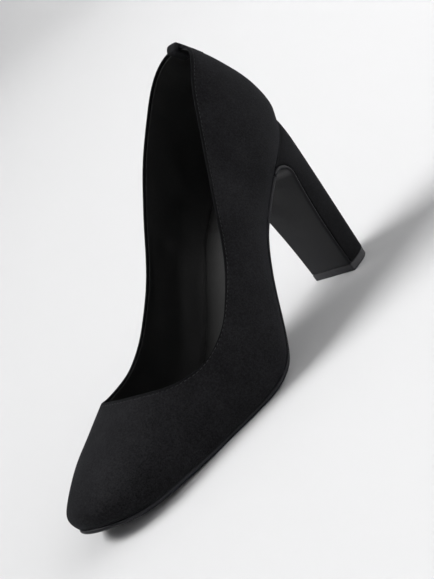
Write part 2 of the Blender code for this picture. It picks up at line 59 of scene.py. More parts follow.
BULGE = 0.0025
ROLL_HEIGHT = 0.010

# Materials' thicknesses and clearances
UPPER_WALL = 0.0018
SOLE_THICKNESS = 0.0025
INSOLE_THICKNESS = 0.002
SOLE_MARGIN = 0.0003
GAP = 0.0003

# Heel block, breast flap and top piece
HEEL_FOOT_LENGTH = 0.0196
HEEL_FOOT_WIDTH = 0.031
HEEL_BACK_LEAN = 0.0078
FLAP_THICKNESS = 0.0016
BREAST_RADIUS = 0.0075
LIP_THICKNESS = 0.0007
LIP_CLEAR = 0.001
TOP_PIECE_HEIGHT = 0.0042

# Folded tab over the topline at the back seam. Its legs start this far under the topline, and the
# arc between them runs from shoulder to shoulder, in radians, flattened to the crest's share.
TAB_WIDTH = 0.009
TAB_DROP = 0.0145
TAB_INSIDE = 0.008
TAB_THICKNESS = 0.0012
TAB_EDGE = 0.001
TAB_CREST = 0.6
TAB_SHOULDER = 0.3

# Powers that shape the sections, the heel's outlines and the vamp's columns, and where along the vamp
# its columns have passed to their own
ACROSS_POWER = 2.3
UPWARD_POWER = 2.0
ROLL_POWER = 0.8
HEEL_ROUND_POWER = 2.8
BLOCK_FLARE = 2.0
SEAT_SPREAD = 3.0
VAMP_ARCH_POWER = 1.7
VAMP_BLEND_END = 0.5

# Centres of the round heel and the round toe, and the last column of the quarters, as stations
HEEL_CENTRE = 0.180
QUARTER_END = 0.440
TOE_CENTRE = 0.835
TOE_ROLL = 0.0065

# Columns round each half of the upper, and levels up it
HEEL_COLUMNS = 32
QUARTER_COLUMNS = 34
VAMP_COLUMNS = 60
TOE_COLUMNS = 44
ROLL_LEVELS = 10
WALL_LEVELS = 54

# Places across the sole and insole, levels up the flap and round its arc, and the tab's own
ACROSS = 24
FLAP_LEVELS = 40
ARC_LEVELS = 36
TAB_PLACES = 31
TAB_LEG_LEVELS = 5

# Rounds that settle a point on a curve, rounds that even out the face, steps along a curve, and the
# welding distance
SETTLE_ROUNDS = 60
RELAX_ROUNDS = 6
CURVE_STEPS = 1201
WELD = 1e-6

LATERAL = 1
MEDIAL = -1

# A row for each section. Station is the share of SHOE_LENGTH from the heel's back. Lateral and medial
# are the feather line's half widths as shares of the width there, middle is its shift as a share of
# BALL_WIDTH. Rises are shares of the heel's rise, spring of TOE_SPRING, bulges of BULGE, roll of
# ROLL_HEIGHT, and ridge of VAMP_HEIGHT above the feather line.
SECTION_COLUMNS = ("station", "lateral", "medial", "middle", "rise_lateral", "rise_medial",
                   "spring", "bulge_lateral", "bulge_medial", "roll", "ridge")
SECTION_ROWS = (
    (-0.004, 0.463, 0.463, 0.000, 1.000, 1.000, 0.00, 0.70, 0.70, 1.00, 2.35),
    (0.079, 0.500, 0.500, 0.000, 0.908, 0.908, 0.00, 0.78, 0.78, 1.10, 2.39),
    (0.154, 0.520, 0.520, 0.000, 0.826, 0.826, 0.00, 1.14, 1.14, 1.30, 2.35),
    (0.220, 0.506, 0.490, 0.007, 0.730, 0.754, 0.00, 1.47, 1.82, 1.45, 2.30),
    (0.286, 0.466, 0.415, 0.013, 0.610, 0.660, 0.00, 1.80, 2.80, 1.60, 2.27),
    (0.352, 0.436, 0.354, 0.020, 0.416, 0.493, 0.00, 2.15, 3.40, 1.70, 2.16),
    (0.418, 0.470, 0.358, 0.017, 0.210, 0.287, 0.00, 2.05, 3.00, 1.60, 2.015),
    (0.484, 0.508, 0.395, 0.008, 0.046, 0.108, 0.00, 1.75, 2.10, 1.35, 1.846),
    (0.549, 0.523, 0.440, -0.010, 0.008, 0.018, 0.00, 1.15, 1.30, 1.15, 1.53),
    (0.583, 0.506, 0.460, -0.023, 0.000, 0.000, 0.00, 0.95, 1.05, 1.05, 1.39),
    (0.615, 0.498, 0.477, -0.037, 0.000, 0.000, 0.00, 0.86, 0.95, 1.00, 1.29),
    (0.703, 0.460, 0.500, -0.073, 0.000, 0.000, 0.00, 0.74, 0.76, 0.90, 1.137),
    (0.835, 0.411, 0.407, -0.088, 0.000, 0.000, 0.20, 0.68, 0.64, 0.80, 0.800),
    (0.923, 0.380, 0.348, -0.065, 0.000, 0.000, 0.46, 0.64, 0.60, 0.70, 0.596),
    (1.000, 0.356, 0.330, -0.034, 0.000, 0.000, 1.00, 0.52, 0.50, 0.50, 0.355),
)

# The topline from the back seam to the throat: station, and heights above the feather line as shares
# of COLLAR_HEIGHT. At the throat it meets the ridge.
TOPLINE_COLUMNS = ("station", "lateral", "medial")
TOPLINE_ROWS = (
    (0.090, 1.157, 1.157),
    (0.176, 1.082, 1.017),
    (0.264, 0.890, 0.895),
    (0.352, 0.783, 0.865),
    (0.440, 0.765, 0.859),
    (0.505, 0.723, 0.819),
    (0.571, 0.602, 0.700),
    (0.624, 0.540, 0.598),
    (0.677, 0.552, 0.577),
)

# The back seam: height above the seat's edge, and how far it leans to the toe, as shares of
# COLLAR_HEIGHT
BACK_COLUMNS = ("height", "lean")
BACK_ROWS = (
    (-0.264, 0.034),
    (0.000, -0.017),
    (0.079, -0.060),
    (0.168, -0.064),
    (0.325, -0.040),
    (0.459, 0.006),
    (0.651, 0.107),
    (0.800, 0.198),
    (1.000, 0.351),
    (1.277, 0.582),
)

# Shares of SHOE_LENGTH between which the local width passes from the seat's to the ball's
SEAT_WIDTH_END = 0.15
BALL_WIDTH_START = 0.55

# How far before and after a place the sections are evened out
EVENING = 0.005

# Shares of SHOE_LENGTH between which the topline passes to its turn round the throat
THROAT_TURN_START = 0.505
THROAT_TURN_END = 0.640


def smooth(x, xs, ys):
    """Curve through the rows that never overshoots them, held flat past the ends."""
    x, xs, ys = np.asarray(x, float), np.asarray(xs, float), np.asarray(ys, float)
    step = np.diff(xs)
    slope = np.diff(ys) / step
    tangent = np.zeros_like(ys)
    tangent[0], tangent[-1] = slope[0], slope[-1]
    near = 2 * step[1:] + step[:-1]
    far = step[1:] + 2 * step[:-1]
    turning = slope[:-1] * slope[1:] <= 0
    before = np.where(turning, 1, slope[:-1])
    after = np.where(turning, 1, slope[1:])
    tangent[1:-1] = np.where(turning, 0, (near + far) / (near / before + far / after))
    i = np.clip(np.searchsorted(xs, x) - 1, 0, len(xs) - 2)
    t = np.clip((x - xs[i]) / step[i], 0, 1)
    return ((1 + 2 * t) * (1 - t) ** 2 * ys[i] + t * (1 - t) ** 2 * step[i] * tangent[i]
            + t * t * (3 - 2 * t) * ys[i + 1] + t * t * (t - 1) * step[i] * tangent[i + 1])


def ease(t):
    """0 to 1 with flat ends."""
    t = np.clip(t, 0, 1)
    return t * t * (3 - 2 * t)


def length_along(x, y):
    """Length of a plane line from its start to each of its points."""
    return np.append(0, np.cumsum(np.hypot(np.diff(x), np.diff(y))))


def along_line(at, along, points):
    """Points at places along a line."""
    return np.stack([np.interp(at, along, axis) for axis in points.T], axis=-1)


SECTIONS = dict(zip(SECTION_COLUMNS, np.array(SECTION_ROWS).T))
TOPLINE = dict(zip(TOPLINE_COLUMNS, np.array(TOPLINE_ROWS).T))
BACK = dict(zip(BACK_COLUMNS, np.array(BACK_ROWS).T))

STACK = SOLE_THICKNESS + GAP
HEEL_RISE = HEEL_HEIGHT - STACK
ROLL = np.linspace(0, 1, ROLL_LEVELS + 1)[:-1]
WALL = np.linspace(0, 1, WALL_LEVELS + 1)
THROAT_X = SHOE_LENGTH - VAMP_LENGTH
HEEL_CENTRE_X = HEEL_CENTRE * SHOE_LENGTH
QUARTER_END_X = QUARTER_END * SHOE_LENGTH
TOE_CENTRE_X = TOE_CENTRE * SHOE_LENGTH
TOE_TIP_X = SHOE_LENGTH
FEATHER_TIP_X = SHOE_LENGTH - TOE_ROLL * SHOE_LENGTH


def section(name, x):
    """One column of the section table at x, evened out: the mean of the curve there and a little before
    and after, weighted one, two, one. The evening fades out at both ends."""
    rows = SECTIONS["station"] * SHOE_LENGTH
    reach = np.clip(np.minimum(x - rows[0], rows[-1] - x), 0, EVENING)
    before, here, after = (smooth(x + way * reach, rows, SECTIONS[name]) for way in (-1, 0, 1))
    return (before + 2 * here + after) / 4


def side_name(prefix, side):
    return prefix + ("lateral" if side == LATERAL else "medial")


def middle(x):
    """Middle line of the bottom, seen from above."""
    return section("middle", x) * BALL_WIDTH


def feather_half(x, side):
    """Half width of the last's bottom edge."""
    share = ease((x / SHOE_LENGTH - SEAT_WIDTH_END) / (BALL_WIDTH_START - SEAT_WIDTH_END))
    width = SEAT_WIDTH + (BALL_WIDTH - SEAT_WIDTH) * share
    return section(side_name("", side), x) * width


def feather_z(x, side):
    """Height of the last's bottom edge."""
    rise = section(side_name("rise_", side), x) * HEEL_RISE
    return STACK + rise + section("spring", x) * TOE_SPRING


def feather_middle_z(x):
    return (feather_z(x, LATERAL) + feather_z(x, MEDIAL)) / 2


def bottom_z(x, y):
    """The last's bottom: straight across from the medial edge to the lateral one."""
    low = middle(x) - feather_half(x, MEDIAL)
    high = middle(x) + feather_half(x, LATERAL)
    share = np.clip((y - low) / (high - low), 0, 1)
    return feather_z(x, MEDIAL) + (feather_z(x, LATERAL) - feather_z(x, MEDIAL)) * share


def widest_half(x, side):
    return feather_half(x, side) + section(side_name("bulge_", side), x) * BULGE


def widest_z(x, side):
    return feather_z(x, side) + section("roll", x) * ROLL_HEIGHT


def ridge_z(x):
    """Top of the whole section, which lies above the topline behind the throat."""
    return feather_middle_z(x) + section("ridge", x) * VAMP_HEIGHT


def back_x(z):
    """The back seam's place at a height."""
    share = smooth((z - HEEL_HEIGHT) / COLLAR_HEIGHT, BACK["height"], BACK["lean"])
    return share * COLLAR_HEIGHT


def half_at(x, z, side):
    """Half width of the section at a height: a rolled foot, then a squared arch up to the ridge."""
    foot, wide = feather_half(x, side), widest_half(x, side)
    low, top = widest_z(x, side), ridge_z(x)
    roll = np.clip((z - feather_z(x, side)) / (low - feather_z(x, side)), 0, 1)
    up = np.clip((z - low) / (top - low), 0, 1)
    rolled = foot + (wide - foot) * np.sin(roll * np.pi / 2) ** ROLL_POWER
    arched = wide * (1 - up ** UPWARD_POWER) ** (1 / ACROSS_POWER)
    return np.where(z < low, rolled, arched)


def arch_z(x, up, side):
    """Height at a share of the way up the arch."""
    return widest_z(x, side) + (ridge_z(x) - widest_z(x, side)) * up


def height_at(x, across, side):
    """Height of the arch where the half width is this share of the widest."""
    return arch_z(x, (1 - np.clip(across, 0, 1) ** ACROSS_POWER) ** (1 / UPWARD_POWER), side)


def section_angle(x, z, side):
    """How far up its section a height lies, as an angle that is a quarter turn on the ridge."""
    low = widest_z(x, side)
    up = np.clip((z - low) / (ridge_z(x) - low), 0, 1)
    return np.arcsin(up ** (UPWARD_POWER / 2))


def topline_angle(x, side):
    """The topline's angle. Along the quarters it keeps the rows' heights. Towards the throat it passes to
    an angle that follows the square root of the distance left, and ends at a quarter turn."""
    rows = TOPLINE["station"] * SHOE_LENGTH
    heights = feather_middle_z(rows) + TOPLINE[side_name("", side)] * COLLAR_HEIGHT
    level = section_angle(x, smooth(x, rows, heights), side)
    place = -np.sqrt(np.append(THROAT_X - rows, 0))
    angles = np.append(section_angle(rows, heights, side), np.pi / 2)
    turning = smooth(-np.sqrt(np.clip(THROAT_X - x, 0, None)), place, angles)
    share = ease((x / SHOE_LENGTH - THROAT_TURN_START) / (THROAT_TURN_END - THROAT_TURN_START))
    return level * (1 - share) + turning * share


def topline_z(x, side):
    return arch_z(x, np.sin(topline_angle(x, side)) ** (2 / UPWARD_POWER), side)


def seat_columns():
    """Turn of each column round the back, and x of its foot on the feather line."""
    turn = np.linspace(0, np.pi / 2, HEEL_COLUMNS + 1)
    forward = 1 - np.cos(turn)
    foot = np.zeros_like(turn)
    for _ in range(SETTLE_ROUNDS):
        seam = back_x(feather_middle_z(foot))
        foot = seam + (HEEL_CENTRE_X - seam) * forward
    return turn, foot


def quarter_side(side):
    """Outer face of the quarter: columns from the back seam to the vamp, levels from feather to topline.

    Round the back a column is a point of an ellipse that moves with the seam's lean. Beyond, it stands
    at one x. Its half width is the section's at each height.
    """
    turn, foot = seat_columns()
    forward = 1 - np.cos(turn)
    top = np.full_like(turn, HEEL_HEIGHT + COLLAR_HEIGHT)
    for _ in range(SETTLE_ROUNDS):
        seam = back_x(top)
        top = (top + topline_z(seam + (HEEL_CENTRE_X - seam) * forward, side)) / 2
    body = np.linspace(HEEL_CENTRE_X, QUARTER_END_X, QUARTER_COLUMNS + 1)[1:]
    foot = np.append(foot, body)
    top = np.append(top, topline_z(body, side))
    low, wide = feather_z(foot, side), widest_z(foot, side)
    z = np.hstack([low[:, None] + np.outer(wide - low, ROLL), wide[:, None] + np.outer(top - wide, WALL)])
    x = np.repeat(foot[:, None], z.shape[1], axis=1)
    seam = back_x(z[:len(turn)])
    x[:len(turn)] = seam + (HEEL_CENTRE_X - seam) * forward[:, None]
    half = half_at(x, z, side)
    half[:len(turn)] *= np.sin(turn)[:, None]
    return np.stack([x, middle(x) + side * half, z], axis=2)


def vamp_plan(side):
    """Plan of the widest line from the last quarter column to the toe tip, and of the topline's match."""
    body = np.linspace(QUARTER_END_X, TOE_CENTRE_X, VAMP_COLUMNS + 1)
    turn = np.linspace(0, np.pi / 2, TOE_COLUMNS + 1)[1:]
    narrow = np.append(np.ones_like(body), np.cos(turn))
    x = np.append(body, TOE_CENTRE_X + (TOE_TIP_X - TOE_CENTRE_X) * np.sin(turn))
    foot_x = np.append(body, TOE_CENTRE_X + (FEATHER_TIP_X - TOE_CENTRE_X) * np.sin(turn))
    half = widest_half(x, side) * narrow
    foot_half = feather_half(foot_x, side) * narrow
    along = length_along(x, half)
    top_x = THROAT_X - (THROAT_X - QUARTER_END_X) * np.linspace(1, 0, CURVE_STEPS) ** 2
    top_half = widest_half(top_x, side) * np.cos(topline_angle(top_x, side)) ** (2 / ACROSS_POWER)
    top_along = length_along(top_x, top_half)
    share = along / along[-1]
    match_x = np.interp(share, top_along / top_along[-1], top_x)
    match_half = np.interp(share, top_along / top_along[-1], top_half)
    match_half[-1] = 0
    return share, (foot_x, foot_half), (x, half), (match_x, match_half)


def vamp_side(side):
    """Outer face of half the vamp: each column runs inwards, seen from above, from the widest line to
    the topline, and its height is the arch's there. Past the toe's centre the share across is the
    distance from that centre, measured in the toe's own radius and the section's half width.
    """
    share, foot, wide, match = vamp_plan(side)
    top_up = np.sin(topline_angle(QUARTER_END_X, side)) ** (2 / UPWARD_POWER)
    across = (1 - (top_up * WALL) ** UPWARD_POWER) ** (1 / ACROSS_POWER)
    upright = (1 - across) / (1 - across[-1])
    inward = WALL ** VAMP_ARCH_POWER
    blend = ease(share / VAMP_BLEND_END)[:, None]
    step = upright * (1 - blend) + inward * blend
    x = wide[0][:, None] + (match[0] - wide[0])[:, None] * step
    half = wide[1][:, None] + (match[1] - wide[1])[:, None] * step
    past = np.clip((x - TOE_CENTRE_X) / (TOE_TIP_X - TOE_CENTRE_X), 0, None)
    z = height_at(x, np.hypot(past, half / widest_half(x, side)), side)
    out = np.sin(ROLL * np.pi / 2) ** ROLL_POWER
    low_x = foot[0][:, None] + (wide[0] - foot[0])[:, None] * out
    low_half = foot[1][:, None] + (wide[1] - foot[1])[:, None] * out
    low, high = feather_z(foot[0], side), widest_z(wide[0], side)
    low_z = low[:, None] + (high - low)[:, None] * ROLL
    x, half, z = np.hstack([low_x, x]), np.hstack([low_half, half]), np.hstack([low_z, z])
    return np.stack([x, middle(x) + side * half, z], axis=2)


def outer_face():
    """The upper's outer face as a ring of columns: back seam, lateral side, toe tip, medial side."""
    halves = [np.concatenate([quarter_side(side), vamp_side(side)[1:]]) for side in (LATERAL, MEDIAL)]
    return np.concatenate([halves[0], halves[1][-2:0:-1]])


def ring_way(ring):
    """Way round a ring at each of its points, from the point before to the one after."""
    return np.roll(ring, -1, axis=0) - np.roll(ring, 1, axis=0)


def outward(face):
    """Unit normals of a ring of columns."""
    normal = np.cross(np.gradient(face, axis=1), ring_way(face))
    return normal / np.linalg.norm(normal, axis=2, keepdims=True)


def inset(outline, distance):
    """A closed plan outline moved inwards. It runs from the heel by the lateral side to the toe."""
    along = ring_way(outline)
    inwards = np.stack([along[:, 1], -along[:, 0]], axis=1)
    return outline + inwards / np.linalg.norm(inwards, axis=1, keepdims=True) * distance


def rungs_across(outline):
    """Plan points straight across an outline: a rung for each pair of columns."""
    half = len(outline) // 2
    lateral = outline[:half + 1]
    medial = np.concatenate([outline[:1], outline[:half - 1:-1]])
    share = np.linspace(0, 1, ACROSS + 1)[None, :, None]
    return lateral[:, None] * (1 - share) + medial[:, None] * share


def on_bottom(plan, drop):
    """Plan points laid on the last's bottom, lowered by drop."""
    z = bottom_z(plan[..., 0], plan[..., 1]) - drop
    return np.concatenate([plan, z[..., None]], axis=-1)


def breast():
    """The breast's visible profile: the plane's x, the arc's centre, and where the arc meets the waist."""
    plane_x = back_x(HEEL_HEIGHT) + HEEL_BACK_LEAN + HEEL_FOOT_LENGTH
    centre_x = plane_x + BREAST_RADIUS
    x = centre_x + np.linspace(0, 0.95, CURVE_STEPS) * BREAST_RADIUS
    room = feather_middle_z(x) - STACK - np.sqrt(BREAST_RADIUS ** 2 - (x - centre_x) ** 2)
    tight = room.argmin()
    return plane_x, centre_x, room[tight], x[tight]


def flap_profile(clearance=0):
    """Front and back of the flap, seen from the side, from its foot up to the waist. A clearance moves
    the back away from the flap."""
    plane_x, centre_x, centre_z, meet_x = breast()
    foot = TOP_PIECE_HEIGHT + GAP
    up = np.linspace(foot, centre_z, FLAP_LEVELS + 1)
    end = np.pi - np.arccos((meet_x - centre_x) / BREAST_RADIUS)
    turn = np.linspace(0, end, ARC_LEVELS + 1)[1:]
    x = np.append(np.full_like(up, plane_x), centre_x - BREAST_RADIUS * np.cos(turn))
    z = np.append(up, centre_z + BREAST_RADIUS * np.sin(turn))
    lean = np.append(np.zeros_like(up), turn)
    slanted = SOLE_THICKNESS * np.sin(end)
    thick = FLAP_THICKNESS + (slanted - FLAP_THICKNESS) * lean / end + clearance
    front = np.column_stack([x, z])
    back = front + np.column_stack([-np.cos(lean), np.sin(lean)]) * thick[:, None]
    return front, back


def heel_front():
    """Profile of the heel's front face: the flap's back with the gap, as far as the lip, where the heel
    between it and the seat is still LIP_THICKNESS thick."""
    profile = flap_profile(GAP)[1]
    room = feather_middle_z(profile[:, 0]) - GAP - profile[:, 1]
    return profile[:np.flatnonzero(room > LIP_THICKNESS).max() + 1]


def block_half(share):
    """Half width of the heel's front face, from its foot (0) to the lip (1)."""
    seat = feather_half(heel_front()[-1, 0], LATERAL)
    return HEEL_FOOT_WIDTH / 2 + (seat - HEEL_FOOT_WIDTH / 2) * share ** BLOCK_FLARE


def foot_round(turn):
    """The D outline of the heel's foot: shares forward from its back, and sideways."""
    forward = 1 - np.cos(turn) ** (2 / HEEL_ROUND_POWER)
    return forward, np.sign(turn) * np.abs(np.sin(turn)) ** (2 / HEEL_ROUND_POWER)


# How the pieces of the dressed shoe are built up
SUEDE_WALL = 0.0013
LINING_DROP = 0.0013
LINING_OVERLAP = 0.0001
FOLD_STEPS = 10
STITCH_DROP = 0.0014
STITCH_PITCH = 0.0023
STITCH_LENGTH = 0.0015
STITCH_RADIUS = 0.00014
STITCH_LIFT = 0.3
STITCH_SIDES = 6
EDGE_STEPS = 8
SOLE_START = 0.001
CORNER_RADIUS = 0.0008
CORNER_STEPS = 6
HEEL_LEVELS = 70
TAB_ROUNDING = 0.002
TAB_CORNER = 0.8
TAB_THINNING = 0.55

# The sock's heel pad: its rise, where it ends towards the toe and the heel, and how long each slope is
PAD_RISE = 0.0009
PAD_FRONT, PAD_FRONT_SLOPE = 0.075, 0.03
PAD_BACK, PAD_BACK_SLOPE = 0.002, 0.008

# Levels of the lift: height, and how far the outline is drawn in there
LIFT_LEVELS = ((0, 0.0006), (0.00015, 0.0003), (0.0005, 0), (0.0037, 0), (0.00405, 0.0002),
               (TOP_PIECE_HEIGHT, 0.0005))


# Grids and meshes

def new_object(name, content):
    """Object made from its content and put in the scene."""
    made = bpy.data.objects.new(name, content)
    bpy.context.scene.collection.objects.link(made)
    return made


def grid_faces(rows, columns, close_rows=False, close_columns=False):
    """Quads of a grid of points, row after row, joined round where closed."""
    r = np.arange(rows if close_rows else rows - 1)[:, None]
    c = np.arange(columns if close_columns else columns - 1)[None, :]
    nr, nc = (r + 1) % rows, (c + 1) % columns
    quads = np.stack([r * columns + c, r * columns + nc, nr * columns + nc, nr * columns + c], axis=-1)
    return quads.reshape(-1, 4)


def strip_faces(one, other):
    """Quads between two rows of point numbers."""
    one, other = np.asarray(one), np.asarray(other)
    return np.stack([one[:-1], one[1:], other[1:], other[:-1]], axis=-1)


def make_piece(name, points, faces, finish, smooth_degrees=40, values=None):
    """Mesh object from points of the last, moved to the frame's place, with its doubles merged and its
    faces turned out. Values are written to a point attribute for the shader."""
    mesh = bpy.data.meshes.new(name)
    mesh.from_pydata((np.asarray(points).reshape(-1, 3) + PLACE).tolist(), [], np.asarray(faces).tolist())
    if values is not None:
        mesh.attributes.new("under_topline", "FLOAT", "POINT").data.foreach_set("value", values.ravel())
    shape = bmesh.new()
    shape.from_mesh(mesh)
    bmesh.ops.remove_doubles(shape, verts=shape.verts, dist=WELD)
    bmesh.ops.dissolve_degenerate(shape, edges=shape.edges, dist=WELD)
    bmesh.ops.recalc_face_normals(shape, faces=shape.faces)
    shape.to_mesh(mesh)
    shape.free()
    mesh.shade_smooth()
    mesh.set_sharp_from_angle(angle=np.radians(smooth_degrees))
    mesh.materials.append(finish)
    piece = new_object(name, mesh)
    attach(piece, "root")
    return piece


def unit(v):
    return v / np.linalg.norm(v, axis=-1, keepdims=True)


def relaxed(face, rounds):
    """Ring of columns evened out: each point moves to the mean of itself and its neighbours round the
    ring, weighted one, two, one, and then the same up the columns, where the ends stay."""
    for _ in range(rounds):
        face = (np.roll(face, 1, axis=0) + 2 * face + np.roll(face, -1, axis=0)) / 4
        inner = (face[:, :-2] + 2 * face[:, 1:-1] + face[:, 2:]) / 4
        face = np.concatenate([face[:, :1], inner, face[:, -1:]], axis=1)
    return face


def depth_under_top(face):
    """Distance down each column from the topline."""
    steps = np.linalg.norm(np.diff(face[:, ::-1], axis=1), axis=2)
    return np.concatenate([np.zeros((len(face), 1)), np.cumsum(steps, axis=1)], axis=1)[:, ::-1]


# Upper, lining and topline

def shell_loops(outer, normal, near, far, drop):
    """Loops round the wall between two depths inside the outer face, each column cut off a drop below the
    topline and closed by a half circle there, and cut along the last's bottom at its foot."""
    depth = depth_under_top(outer)
    length = depth[:, :1]
    share = np.linspace(0, 1, outer.shape[1])[None, :]
    wanted = length - (length - drop) * share
    count = np.arange(outer.shape[1])[::-1]
    level = np.array([np.interp(w[::-1], d[::-1], count)[::-1] for w, d in zip(wanted, depth)])
    low = np.floor(level).astype(int).clip(0, outer.shape[1] - 2)
    part = (level - low)[:, :, None]
    column = np.arange(len(outer))[:, None]
    skin = outer[column, low] * (1 - part) + outer[column, low + 1] * part
    way = unit(normal[column, low] * (1 - part) + normal[column, low + 1] * part)
    out, inside = skin - way * near, skin - way * far
    for side, inward in ((out, near), (inside, far)):
        if inward:
            side[:, 0] = on_bottom(inset(outer[:, 0, :2], inward), 0)
    radius = (far - near) / 2
    centre = (out[:, -1] + inside[:, -1]) / 2
    up = unit(skin[:, -1] - skin[:, -2])
    turn = np.linspace(0, np.pi, FOLD_STEPS + 1)[1:-1]
    fold = (centre[:, None] + way[:, -1][:, None] * radius * np.cos(turn)[None, :, None]
            + up[:, None] * radius * np.sin(turn)[None, :, None])
    values = np.concatenate([wanted, np.full((len(outer), len(turn)), drop), -wanted[:, ::-1]], axis=1)
    return np.concatenate([out, fold, inside[:, ::-1]], axis=1), values


def make_shell(name, outer, normal, wall, finish):
    """Closed shell from the wall's two depths and its drop under the topline."""
    loops, values = shell_loops(outer, normal, *wall)
    return make_piece(name, loops, grid_faces(*loops.shape[:2], True, True), finish, 60, values)


def make_upper(outer, normal, finish):
    piece = make_shell("suede_upper", outer, normal, (0, SUEDE_WALL, 0), finish)
    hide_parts("upper")


def make_lining(outer, normal, finish):
    wall = (SUEDE_WALL - LINING_OVERLAP, UPPER_WALL, LINING_DROP)
    make_shell("upper_lining", outer, normal, wall, finish)


def make_topline_stitches(outer, normal, finish):
    """A capsule for each stitch, at even steps along the curve a set distance under the topline."""
    depth = depth_under_top(outer)
    spots = np.array([along_line(STITCH_DROP, d[::-1], c[::-1]) for c, d in zip(outer, depth)])
    ways = unit(normal[:, -3])
    looped, looped_ways = np.vstack([spots, spots[:1]]), np.vstack([ways, ways[:1]])
    around = np.append(0, np.cumsum(np.linalg.norm(np.diff(looped, axis=0), axis=1)))
    count = int(around[-1] / STITCH_PITCH)
    place = (np.arange(count) + 0.5) * around[-1] / count

    def on_curve(at, of):
        return along_line(at % around[-1], around, of)

    middle_of, way = on_curve(place, looped), unit(on_curve(place, looped_ways))
    along = unit(on_curve(place + STITCH_PITCH / 4, looped) - on_curve(place - STITCH_PITCH / 4, looped))
    across = unit(np.cross(along, way))
    run = np.linspace(-1, 1, STITCH_SIDES)
    swell = np.sqrt(np.clip(1 - run ** 4, 0, 1))
    turn = np.linspace(0, 2 * np.pi, STITCH_SIDES, endpoint=False)
    local = np.stack([np.broadcast_to(run[:, None] * STITCH_LENGTH / 2, (STITCH_SIDES, STITCH_SIDES)),
                      swell[:, None] * np.cos(turn) * STITCH_RADIUS,
                      swell[:, None] * np.sin(turn) * STITCH_RADIUS + STITCH_RADIUS * STITCH_LIFT], axis=-1)
    frames = np.stack([along, across, way], axis=1)
    points = middle_of[:, None, None] + np.einsum("ijk,nkl->nijl", local, frames)
    faces = grid_faces(STITCH_SIDES, STITCH_SIDES, False, True)
    every = (faces[None] + np.arange(count)[:, None, None] * STITCH_SIDES ** 2).reshape(-1, 4)
    make_piece("topline_stitches", points, every, finish)


# Sole, breast flap and sock

def edged_plan(outline, grow, half_thickness, keep=None):
    """Plan grids of a plate with a rounded edge: its face, drawn in by half the thickness, and the two
    edges' rows, which bow out to the full outline at mid height."""
    face = rungs_across(inset(outline, half_thickness - grow))
    turn = np.linspace(0, np.pi, EDGE_STEPS + 1)[1:-1]
    rows = [rungs_across(inset(outline, half_thickness - grow - half_thickness * np.sin(t))) for t in turn]
    medial = np.stack([row[:, -1] for row in rows], axis=1)
    lateral = np.stack([row[:, 0] for row in rows], axis=1)[:, ::-1]
    if keep is not None:
        face, medial, lateral = face[keep], medial[keep], lateral[keep]
    return face, medial, lateral, np.cos(turn)


def plate_loops(plan, top_drop, bottom_drop, floor=None):
    """Loops round a plate on the last's bottom: its top, inner edge, underside and outer edge."""
    face, medial, lateral, lift = plan
    mid, half = (top_drop + bottom_drop) / 2, (bottom_drop - top_drop) / 2
    parts = [on_bottom(face, top_drop)]
    edge = on_bottom(medial, mid)
    edge[..., 2] += half * lift
    parts += [edge, on_bottom(face[:, ::-1], bottom_drop)]
    edge = on_bottom(lateral, mid)
    edge[..., 2] -= half * lift[::-1]
    parts.append(edge)
    loops = np.concatenate(parts, axis=1)
    if floor is not None:
        loops[..., 2] = np.maximum(loops[..., 2], floor)
    return loops


def flap_loops():
    """The same loops for the breast flap: its back, inner edge, front and outer edge."""
    front, back = flap_profile()
    foot, lip = front[0, 1], heel_front()[-1]
    halves = block_half(np.clip((front[:, 1] - foot) / (lip[1] - foot), 0, 1))
    edge = feather_half(front[-1, 0], LATERAL) + SOLE_MARGIN
    halves += (edge - halves[-1]) * ease((front[:, 0] - front[0, 0]) / (front[-1, 0] - front[0, 0]))
    radius = np.linalg.norm(back - front, axis=1) / 2
    centre, way = (front + back) / 2, unit(back - front)
    across = np.linspace(1, -1, ACROSS + 1)
    turn = np.linspace(0, np.pi, EDGE_STEPS + 1)[1:-1]
    shift = middle(front[:, 0])[:, None]
    reach = (halves - radius)[:, None]
    face_y, face_way = reach * across, np.ones((len(front), ACROSS + 1))
    edge_y = reach + radius[:, None] * np.sin(turn)
    edge_way = np.broadcast_to(np.cos(turn), edge_y.shape)
    y = np.concatenate([face_y, -edge_y, face_y[:, ::-1], edge_y], axis=1) + shift
    lift = np.concatenate([face_way, edge_way, -face_way, -edge_way], axis=1) * radius[:, None]
    x = centre[:, :1] + way[:, :1] * lift
    z = centre[:, 1:] + way[:, 1:] * lift
    return np.stack([x, y, z], axis=2)


def closed_ends(loops, places):
    """Faces of the tube of loops and of both of its ends."""
    rows, size = loops.shape[:2]
    faces = [grid_faces(rows, size, False, True)]
    steps = (size - 2 * places) // 2
    upper = np.arange(places)
    lower = np.arange(2 * places + steps - 1, places + steps - 1, -1)
    medial = np.arange(places - 1, places + steps + 1)
    lateral = np.append(np.arange(2 * places + steps - 1, size), 0)
    for base in (0, (rows - 1) * size):
        faces.append(strip_faces(upper, lower) + base)
        for edge in (medial, lateral):
            half = (len(edge) + 1) // 2
            faces.append(strip_faces(edge[:half], edge[::-1][:half]) + base)
    return np.concatenate(faces)


def make_sole(outer, finish):
    outline = outer[:, 0, :2]
    start = flap_profile()[1][-1, 0] + SOLE_START
    keep = rungs_across(inset(outline, -SOLE_MARGIN))[:, :, 0].min(axis=1) > start
    plan = edged_plan(outline, SOLE_MARGIN, SOLE_THICKNESS / 2, keep)
    loops = np.concatenate([flap_loops(), plate_loops(plan, GAP, STACK, 0)])
    piece = make_piece("sole_and_breast", loops, closed_ends(loops, ACROSS + 1), finish, 50)
    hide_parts("outsole")


